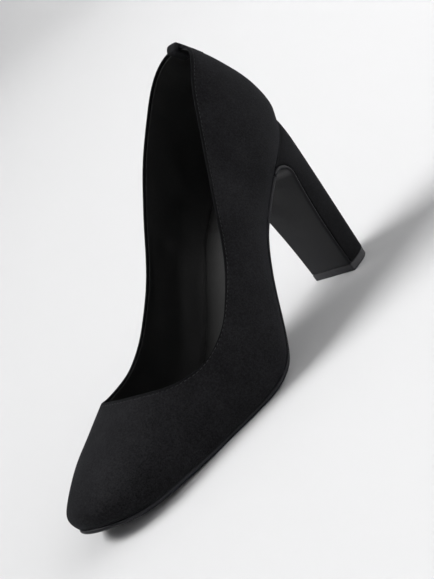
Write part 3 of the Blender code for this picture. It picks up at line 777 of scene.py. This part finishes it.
def make_sock(outer, finish):
    """Sock over the insole, raised under the heel by a pad with the plan of a rounded tongue."""
    outline = outer[:, 0, :2]
    plan = edged_plan(outline, -(UPPER_WALL + GAP), INSOLE_THICKNESS / 2)
    loops = plate_loops(plan, -INSOLE_THICKNESS, 0)
    x, y = loops[:, :ACROSS + 1, 0], loops[:, :ACROSS + 1, 1]
    across = (y - middle(x)) / (feather_half(x, LATERAL) - UPPER_WALL)
    pad = np.clip(1 - across ** 2, 0, 1)
    pad = pad * ease((PAD_FRONT - x) / PAD_FRONT_SLOPE)
    pad = pad * ease((x - PAD_BACK) / PAD_BACK_SLOPE)
    loops[:, :ACROSS + 1, 2] += PAD_RISE * pad
    piece = make_piece("sock", loops, closed_ends(loops, ACROSS + 1), finish, 50)
    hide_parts("insole")


# Heel and its lift

def rounded_corner(x, half, radius):
    """A half outline from the back line to its front corner, resampled evenly and ended by a quarter
    circle onto the front face."""
    along = length_along(x, half)
    place = np.linspace(0, along[-1] - radius, 3 * HEEL_COLUMNS)
    turn = np.linspace(0, np.pi / 2, CORNER_STEPS + 1)[1:]
    side_x, side_half = np.interp(place, along, x), np.interp(place, along, half)
    drawn = (side_half[-1] - (half[-1] - radius)) * (1 - np.cos(turn))
    return (np.append(side_x, side_x[-1] + (x[-1] - side_x[-1]) * np.sin(turn)),
            np.append(side_half, side_half[-1] - drawn))


def whole_ring(x, half, z):
    """Ring of points from a half outline and its mirror image."""
    lateral = np.column_stack([x, half, z])
    return np.concatenate([lateral[:0:-1] * (1, -1, 1), lateral])


def make_block(name, rings, finish, smooth_degrees, skip=0):
    """Closed piece from rings, one after another. Both ends join a ring's halves, point to point. Skip is
    0 where the halves share their middle point, and 1 where they don't."""
    rings = np.array(rings)
    rows, size = rings.shape[:2]
    half = size // 2
    ends = strip_faces(np.arange(half, size), np.arange(half - skip, -1, -1))
    bases = (0, (rows - 1) * size)
    faces = [grid_faces(rows, size, False, True), *(ends + base for base in bases)]
    return make_piece(name, rings, np.concatenate(faces), finish, smooth_degrees)


def make_heel(finish):
    """Level outlines from the D-shaped foot to the seat. Each point keeps its share of the way from the
    back line to the breast, and passes from the foot's outline to the seat's."""
    front = heel_front()
    along = length_along(*front.T)
    front = along_line(np.linspace(0, along[-1], HEEL_LEVELS), along, front)
    seat_back, lip_x = back_x(HEEL_HEIGHT), front[-1, 0]
    turn, seat_x = seat_columns()
    inner = seat_x < lip_x - LIP_CLEAR
    last_turn = np.arccos((HEEL_CENTRE_X - lip_x) / (HEEL_CENTRE_X - seat_back))
    seat_x, turn = np.append(seat_x[inner], lip_x), np.append(turn[inner], last_turn)
    seat_half = feather_half(seat_x, LATERAL) * np.sin(turn)
    seat_z = feather_middle_z(seat_x) - GAP
    forward_foot, half_foot = foot_round(np.linspace(0, np.pi / 2, len(seat_x)))
    forward_seat = (seat_x - seat_back) / (lip_x - seat_back)
    low = front[0, 1]
    rings = []
    for front_x, front_z in np.vstack([front, [lip_x, seat_z[-1]]]):
        step = (front_z - low) / (seat_z[-1] - low)
        z = low + (seat_z - low) * step
        back = seat_back + HEEL_BACK_LEAN * (1 - z / seat_z[0])
        forward = forward_foot + (forward_seat - forward_foot) * step ** SEAT_SPREAD
        x = back + (front_x - back) * forward
        half = half_foot * HEEL_FOOT_WIDTH / 2
        half = half + (seat_half - half) * step ** BLOCK_FLARE
        even_x, even_half = rounded_corner(x, half, CORNER_RADIUS)
        rings.append(whole_ring(even_x, even_half, np.interp(even_x, x, z)))
    piece = make_block("heel_cover", rings, finish, 50)
    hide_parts("heel")


def make_lift(finish):
    """The lift's D outline at levels from the floor to the heel, drawn in a little at both edges."""
    forward, sideways = foot_round(np.linspace(0, np.pi / 2, 2 * HEEL_COLUMNS + 1))
    rings = []
    for z, draw in LIFT_LEVELS:
        back = back_x(HEEL_HEIGHT) + HEEL_BACK_LEAN * (1 - z / HEEL_HEIGHT) + draw
        x = back + (breast()[0] - draw - back) * forward
        x, half = rounded_corner(x, sideways * (HEEL_FOOT_WIDTH / 2 - draw), CORNER_RADIUS / 2)
        rings.append(whole_ring(x, half, np.full_like(x, z)))
    piece = make_block("heel_lift", rings, finish, 35)
    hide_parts("top_piece")


# Folded tab at the back seam

def spot_under(line, out, distance):
    """Point of the outer face at a distance down from the topline, and its normal."""
    depth = np.append(0, np.cumsum(np.linalg.norm(np.diff(line[::-1], axis=0), axis=1)))
    return along_line(distance, depth, line[::-1]), unit(along_line(distance, depth, out[::-1]))


def tab_loop(line, out, drop, thickness):
    """U round the wall: down inside, over the topline and down the back, inner side first."""
    crest, face = spot_under(line, out, 0.0)
    up = unit(crest - spot_under(line, out, TAB_EDGE)[0])
    wall_middle = crest - face * UPPER_WALL / 2
    turn = np.linspace(TAB_SHOULDER, np.pi - TAB_SHOULDER, 3 * TAB_LEG_LEVELS)[:, None]
    loop = []
    for clearance in (GAP, GAP + thickness):
        reach = UPPER_WALL / 2 + clearance
        spot, way = spot_under(line, out, np.linspace(drop, TAB_EDGE, 6 * TAB_LEG_LEVELS))
        outside = spot + way * clearance
        over = (wall_middle + face * reach * np.cos(turn)
                + up * (SUEDE_WALL / 2 + clearance + (reach * TAB_CREST - SUEDE_WALL / 2) * np.sin(turn)))
        spot, way = spot_under(line, out, np.linspace(TAB_EDGE, TAB_INSIDE, 4 * TAB_LEG_LEVELS))
        inside = spot - way * (UPPER_WALL + clearance)
        path = np.concatenate([outside, over, inside])
        loop.append(path if clearance == GAP else path[::-1])
    return np.concatenate(loop)


def make_tab(outer, normal, finish):
    """Strip folded over the topline, its corners rounded by a circle and its edges thinned."""
    reach = 3 * HEEL_COLUMNS // 8 + 3
    near = np.arange(-reach, reach + 1)
    strip, strip_normal = outer[near], normal[near]
    level = np.arange(strip.shape[1])
    rings = []
    for share in np.linspace(-1, 1, TAB_PLACES):
        offset = share * TAB_WIDTH / 2
        column = np.array([np.interp(offset, strip[:, k, 1], np.arange(len(near))) for k in level])
        low = np.floor(column).astype(int).clip(0, len(near) - 2)
        part = (column - low)[:, None]
        line = strip[low, level] * (1 - part) + strip[low + 1, level] * part
        out = strip_normal[low, level] * (1 - part) + strip_normal[low + 1, level] * part
        over = max(0, abs(offset) - (TAB_WIDTH / 2 - TAB_ROUNDING)) / TAB_ROUNDING
        drop = TAB_DROP - TAB_ROUNDING * (1 - np.sqrt(1 - min(over, 1) ** 2)) * TAB_CORNER
        rings.append(tab_loop(line, out, drop, TAB_THICKNESS * (1 - TAB_THINNING * abs(share) ** 8)))
    piece = make_block("back_seam_tab", rings, finish, 50, 1)
    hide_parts("back_tab")


# Finishes

# Half width and depth of a pressed line in the nap, how strongly the stitching's row is pressed, how dark
# the painted shade in the pressed lines and on the folded edge gets and how much of it is laid on, the
# painted shade's fade under the topline along the folded edge, and where the inner side begins
GROOVE_HALF_WIDTH = 0.0005
GROOVE_DEPTH = -2.5
ROW_PRESS = 0.6
PAINTED_SHADE_DEPTH = 0.35
PAINTED_SHADE_MIX = 0.7
RIM_SHADE_BAND = (0.0005, 0.0010)
INNER_SIDE = (-0.006, -0.004)

# What the groups of suede and of smooth finishes give
SURFACE = {"Colour": "Color", "Roughness": "Float", "Height": "Float"}


def feed(tree, socket, value):
    """Gives a socket its link, number or colour."""
    if isinstance(value, bpy.types.NodeSocket):
        tree.links.new(value, socket)
    else:
        socket.default_value = (*value, 1) if isinstance(value, tuple) else value


def fill(tree, node, **values):
    """Feeds a node's inputs by their names, with underscores for spaces."""
    for label, value in values.items():
        feed(tree, node.inputs[label.replace("_", " ")], value)
    return node


def new_node(tree, kind, **values):
    return fill(tree, tree.nodes.new("ShaderNode" + kind), **values)


def new_group(name, inputs, outputs):
    """Empty shader node group, what it is given, and the node at its end."""
    tree = bpy.data.node_groups.new(name, "ShaderNodeTree")
    for label, kind in inputs.items():
        tree.interface.new_socket(label, in_out="INPUT", socket_type="NodeSocket" + kind)
    for label, kind in outputs.items():
        tree.interface.new_socket(label, in_out="OUTPUT", socket_type="NodeSocket" + kind)
    return tree, tree.nodes.new("NodeGroupInput").outputs, tree.nodes.new("NodeGroupOutput")


def noise(tree, vector, scale, detail, roughness=0.55):
    node = new_node(tree, "TexNoise", Vector=vector, Scale=scale, Detail=detail, Roughness=roughness)
    return node.outputs["Fac"]


def arithmetic(tree, operation, *values):
    node = new_node(tree, "Math")
    node.operation = operation
    for socket, value in zip(node.inputs, values):
        feed(tree, socket, value)
    return node.outputs["Value"]


def between(tree, value, low, high, start=0.0, end=1.0):
    """Value carried from one range to another, held at its ends, with a smooth step."""
    node = new_node(tree, "MapRange")
    node.interpolation_type = "SMOOTHSTEP"
    fill(tree, node, Value=value, From_Min=low, From_Max=high, To_Min=start, To_Max=end)
    return node.outputs["Result"]


def blend_colours(tree, factor, one, other):
    node = new_node(tree, "Mix")
    node.data_type = "RGBA"
    return fill(tree, node, Factor=factor, A=one, B=other).outputs["Result"]


def nap_group():
    """Suede's nap: noises for fibres, tufts and brushed clouds are summed with weights, and the sum picks
    between the deep and the raised colour."""
    tree, given, end = new_group(
        "nap", dict(Vector="Vector", Deep="Color", Raised="Color", Fibre="Float", Cloud="Float"), SURFACE)
    vector = given["Vector"]
    fibre = noise(tree, vector, given["Fibre"], 4, 0.65)
    tuft = noise(tree, vector, arithmetic(tree, "MULTIPLY", given["Fibre"], 0.45), 3)
    cloud = noise(tree, vector, given["Cloud"], 3)
    fine = arithmetic(tree, "MULTIPLY", fibre, 0.42)
    middling = arithmetic(tree, "MULTIPLY_ADD", tuft, 0.38, fine)
    total = arithmetic(tree, "MULTIPLY_ADD", cloud, 0.20, middling)
    pick = between(tree, total, 0.35, 0.67)
    fill(tree, end, Colour=blend_colours(tree, pick, given["Deep"], given["Raised"]),
         Roughness=between(tree, tuft, 0.3, 0.7, 0.86, 0.98),
         Height=arithmetic(tree, "MULTIPLY_ADD", tuft, 0.6, fibre))
    return tree


def grain_group():
    """Fine grain of leather or sole: cells for the pores, and a slow noise for wear and roughness."""
    tree, given, end = new_group(
        "grain", dict(Vector="Vector", Base="Color", Worn="Color", Pores="Float", Roughness="Float"), SURFACE)
    vector = given["Vector"]
    cells = new_node(tree, "TexVoronoi", Vector=vector, Scale=given["Pores"])
    wear = noise(tree, vector, 90, 5, 0.6)
    fine = noise(tree, vector, arithmetic(tree, "MULTIPLY", given["Pores"], 0.6), 3)
    pick = between(tree, arithmetic(tree, "MULTIPLY_ADD", fine, 0.4, wear), 0.55, 0.95)
    rough = arithmetic(tree, "ADD", given["Roughness"], between(tree, wear, 0.3, 0.7, -0.06, 0.08))
    fill(tree, end, Colour=blend_colours(tree, pick, given["Base"], given["Worn"]),
         Roughness=rough, Height=arithmetic(tree, "MULTIPLY_ADD", fine, 0.5, cells.outputs["Distance"]))
    return tree


def groove_group():
    """Line across the surface: one inside its half width and nothing outside, from a signed distance."""
    tree, given, end = new_group("groove", {"Distance": "Float", "Half width": "Float"}, {"Mask": "Float"})
    share = arithmetic(tree, "DIVIDE", given["Distance"], given["Half width"])
    fill(tree, end, Mask=between(tree, arithmetic(tree, "ABSOLUTE", share), 0.2, 1.0, 1.0, 0.0))
    return tree


def use_group(tree, group, **values):
    node = new_node(tree, "Group")
    node.node_tree = group
    return fill(tree, node, **values)


def new_finish(name, colour, roughness):
    """Material with its Principled shader and the piece's own coordinates."""
    made = bpy.data.materials.new(name)
    made.use_nodes = True
    tree = made.node_tree
    shader = tree.nodes["Principled BSDF"]
    shader.inputs["Roughness"].default_value = roughness
    made.diffuse_color = (*colour, 1)
    where = new_node(tree, "TexCoord").outputs["Object"]
    return made, tree, shader, where


def add_relief(tree, shader, height, distance, strength):
    bump = new_node(tree, "Bump", Distance=distance, Strength=strength, Height=height)
    fill(tree, shader, Normal=bump.outputs["Normal"])


def suede_finish(name, deep, raised, with_seams_and_shade):
    """Black suede. On the upper the nap is pressed along the topline's stitching and into the side seam,
    a plane that leans back down the inner quarter. Shade is painted into these lines and onto the folded
    edge of the topline and its inner face, as a darker colour."""
    made, tree, shader, where = new_finish(name, deep, 0.95)
    nap = use_group(tree, GROUPS["nap"], Vector=where, Deep=deep, Raised=raised, Fibre=2300.0, Cloud=52.0)
    colour, height = nap.outputs["Colour"], nap.outputs["Height"]
    if with_seams_and_shade:
        split = new_node(tree, "SeparateXYZ", Vector=where)
        ahead, above = (
            arithmetic(tree, "MULTIPLY", arithmetic(tree, "SUBTRACT", split.outputs[k], SEAM_AT[k]),
                       SEAM_WAY[k])
            for k in (0, 2))
        seam = use_group(tree, GROUPS["groove"], Distance=arithmetic(tree, "ADD", ahead, above),
                         Half_width=GROOVE_HALF_WIDTH)
        inner_side = between(tree, split.outputs["Y"], *INNER_SIDE, 1.0, 0.0)
        side_seam = arithmetic(tree, "MULTIPLY", seam.outputs["Mask"], inner_side)
        attribute = new_node(tree, "Attribute")
        attribute.attribute_name = "under_topline"
        under = attribute.outputs["Fac"]
        below = arithmetic(tree, "SUBTRACT", under, STITCH_DROP)
        row = use_group(tree, GROUPS["groove"], Distance=below, Half_width=GROOVE_HALF_WIDTH)
        row_mask = arithmetic(tree, "MULTIPLY", row.outputs["Mask"], ROW_PRESS)
        groove_and_shade_mask = arithmetic(tree, "MAXIMUM", side_seam, row_mask)
        height = arithmetic(tree, "MULTIPLY_ADD", groove_and_shade_mask, GROOVE_DEPTH, height)
        # Painted shade: the folded edge of the topline and the inner face above the lining are coloured
        # darker
        edge = between(tree, under, *RIM_SHADE_BAND, 1.0, 0.0)
        groove_and_shade_mask = arithmetic(tree, "MAXIMUM", groove_and_shade_mask, edge)
        # Painted shade: the pressed lines and the folded edge get a darker copy of the deep colour
        painted_shade_colour = tuple(shade * PAINTED_SHADE_DEPTH for shade in deep)
        colour = blend_colours(tree, arithmetic(tree, "MULTIPLY", groove_and_shade_mask, PAINTED_SHADE_MIX), colour, painted_shade_colour)
    add_relief(tree, shader, height, 0.00016, 0.75)
    fill(tree, shader, Base_Color=colour, Roughness=nap.outputs["Roughness"], Specular_IOR_Level=0.03,
         Sheen_Weight=0.026, Sheen_Roughness=0.55, Sheen_Tint=(0.75, 0.78, 0.9))
    return made


def smooth_finish(name, base, worn, pores, roughness, relief, level):
    """Smooth leather, sole or rubber with its grain."""
    made, tree, shader, where = new_finish(name, base, roughness)
    grain = use_group(tree, GROUPS["grain"], Vector=where, Base=base, Worn=worn, Pores=pores,
                      Roughness=roughness)
    add_relief(tree, shader, grain.outputs["Height"], relief, 0.6)
    fill(tree, shader, Base_Color=grain.outputs["Colour"], Roughness=grain.outputs["Roughness"],
         Specular_IOR_Level=level)
    return made


# Floor, light and camera

# The floor's disc, its bend, the wall's top as radius and height, and its sides
FLOOR_RADIUS = 3.0
BEND_RADIUS = 1.5
WALL_TOP = (4.6, 4.5)
FLOOR_SIDES = 72
FLOOR_COLOUR = (0.61, 0.61, 0.614)


def add_floor():
    """Level floor that turns up round its rim into a pale wall."""
    bend = np.linspace(0.15, np.pi / 2, 10)
    level = np.linspace(0.02, FLOOR_RADIUS, 12)
    radius = np.concatenate([level, FLOOR_RADIUS + BEND_RADIUS * np.sin(bend), WALL_TOP[:1]])
    height = np.concatenate([np.zeros(len(level)), BEND_RADIUS * (1 - np.cos(bend)), WALL_TOP[1:]])
    turn = np.linspace(0, 2 * np.pi, FLOOR_SIDES, endpoint=False)
    points = np.stack([np.outer(radius, np.cos(turn)), np.outer(radius, np.sin(turn)),
                       np.repeat(height[:, None], FLOOR_SIDES, axis=1)], axis=-1)
    mesh = bpy.data.meshes.new("floor")
    faces = grid_faces(len(radius), FLOOR_SIDES, False, True)[:, ::-1].tolist() + [list(range(FLOOR_SIDES))]
    mesh.from_pydata(points.reshape(-1, 3).tolist(), [], faces)
    mesh.shade_smooth()
    paint, tree, shader, _ = new_finish("floor_paint", FLOOR_COLOUR, 0.8)
    fill(tree, shader, Base_Color=FLOOR_COLOUR, Specular_IOR_Level=0.1)
    mesh.materials.append(paint)
    floor = new_object("floor", mesh)


def add_object(name, content, right, up, back, place):
    """Light or camera, turned to its three axes."""
    added = new_object(name, content)
    matrix = np.eye(4)
    matrix[:3] = np.column_stack([right, up, back, place])
    added.matrix_world = matrix.T.tolist()
    return added


def add_sun(name, toward, strength, softness_degrees):
    """Even studio light from one side, as soft as its angle is wide."""
    lamp = bpy.data.lights.new(name, "SUN")
    lamp.energy = strength
    lamp.angle = np.radians(softness_degrees)
    back = unit(np.array(toward, float))
    right = unit(np.cross((0.0, 0.0, 1.0), back))
    add_object(name, lamp, right, np.cross(back, right), back, (0, 0, 0))


def add_camera():
    """The photo's direction, roll and distance, brought nearer by its lens."""
    lens = bpy.data.cameras.new("camera")
    lens.sensor_width = 36
    lens.lens = CAMERA_LENS
    lens.clip_start = 0.01
    bpy.context.scene.camera = add_object("camera", lens, CAMERA_RIGHT, CAMERA_UP, CAMERA_BACK, CAMERA_PLACE)


def add_world():
    world = bpy.data.worlds.new("studio")
    world.use_nodes = True
    sky = world.node_tree.nodes["Background"]
    sky.inputs["Color"].default_value = (1, 1, 1, 1)
    sky.inputs["Strength"].default_value = 0.28
    bpy.context.scene.world = world
    bpy.context.scene.view_settings.view_transform = "Standard"


CAMERA_RIGHT = (-0.55765, 0.58122, -0.59263)
CAMERA_UP = (-0.62224, 0.17985, 0.76189)
CAMERA_BACK = (0.54941, 0.79362, 0.26136)
CAMERA_PLACE = (0.3857, 0.5889, 0.2370)
CAMERA_LENS = 94.1

# Frame's place of the last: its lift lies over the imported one
LIFT_LOW, LIFT_HIGH = (np.array(corner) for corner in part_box("top_piece"))
PLACE = np.array([LIFT_HIGH[0] - breast()[0], (LIFT_LOW[1] + LIFT_HIGH[1]) / 2, 0])

# A point of the side seam on the inner quarter's topline, and the way across it
SEAM_AT = PLACE + (0.1064, 0, 0.0624)
SEAM_WAY = (0.651, 0, -0.760)

# Suedes: name, deep colour, raised colour, and whether the seams are pressed into it, with shade painted into
# them and onto the topline's folded edge
SUEDES = (
    ("black_suede", (0.0034, 0.0034, 0.0036), (0.0167, 0.0167, 0.0178), True),
    ("heel_suede", (0.0025, 0.0025, 0.0027), (0.0131, 0.0131, 0.0139), False),
    ("tab_suede", (0.0033, 0.0033, 0.0036), (0.0165, 0.0165, 0.0175), False),
)

# Smooth finishes: name, base colour, worn colour, pores, roughness, relief and specular level
SMOOTH_FINISHES = (
    ("black_thread", (0.011, 0.011, 0.012), (0.026, 0.026, 0.028), 3000.0, 0.7, 0.00003, 0.2),
    ("black_sole", (0.0048, 0.0048, 0.0063), (0.0095, 0.0095, 0.0119), 1500.0, 0.42, 0.00004, 0.18),
    ("black_rubber", (0.020, 0.020, 0.0225), (0.040, 0.040, 0.044), 900.0, 0.6, 0.00005, 0.35),
    ("black_lining", (0.008, 0.008, 0.008), (0.013, 0.013, 0.013), 1300.0, 0.6, 0.00006, 0.3),
    ("black_sock", (0.008, 0.008, 0.008), (0.013, 0.013, 0.013), 1100.0, 0.62, 0.00008, 0.2),
)

# Studio lights: name, the way towards them, strength, and softness in degrees
SUNS = (
    ("key_softbox", (1.0, -0.75, 1.1), 9.0, 46),
    ("fill_softbox", (0.9, 0.9, 0.7), 0.15, 60),
    ("rear_softbox", (-1.2, -0.5, 0.9), 0.25, 50),
)

GROUPS = {"nap": nap_group(), "grain": grain_group(), "groove": groove_group()}


def main():
    outer = relaxed(outer_face(), RELAX_ROUNDS)
    normal = outward(outer)
    suede, heel_suede, tab_suede = (suede_finish(*row) for row in SUEDES)
    thread, sole, rubber, lining, sock = (smooth_finish(*row) for row in SMOOTH_FINISHES)
    make_upper(outer, normal, suede)
    make_lining(outer, normal, lining)
    make_topline_stitches(outer, normal, thread)
    make_sole(outer, sole)
    make_sock(outer, sock)
    make_heel(heel_suede)
    make_lift(rubber)
    make_tab(outer, normal, tab_suede)
    add_floor()
    add_world()
    for row in SUNS:
        add_sun(*row)
    add_camera()


main()
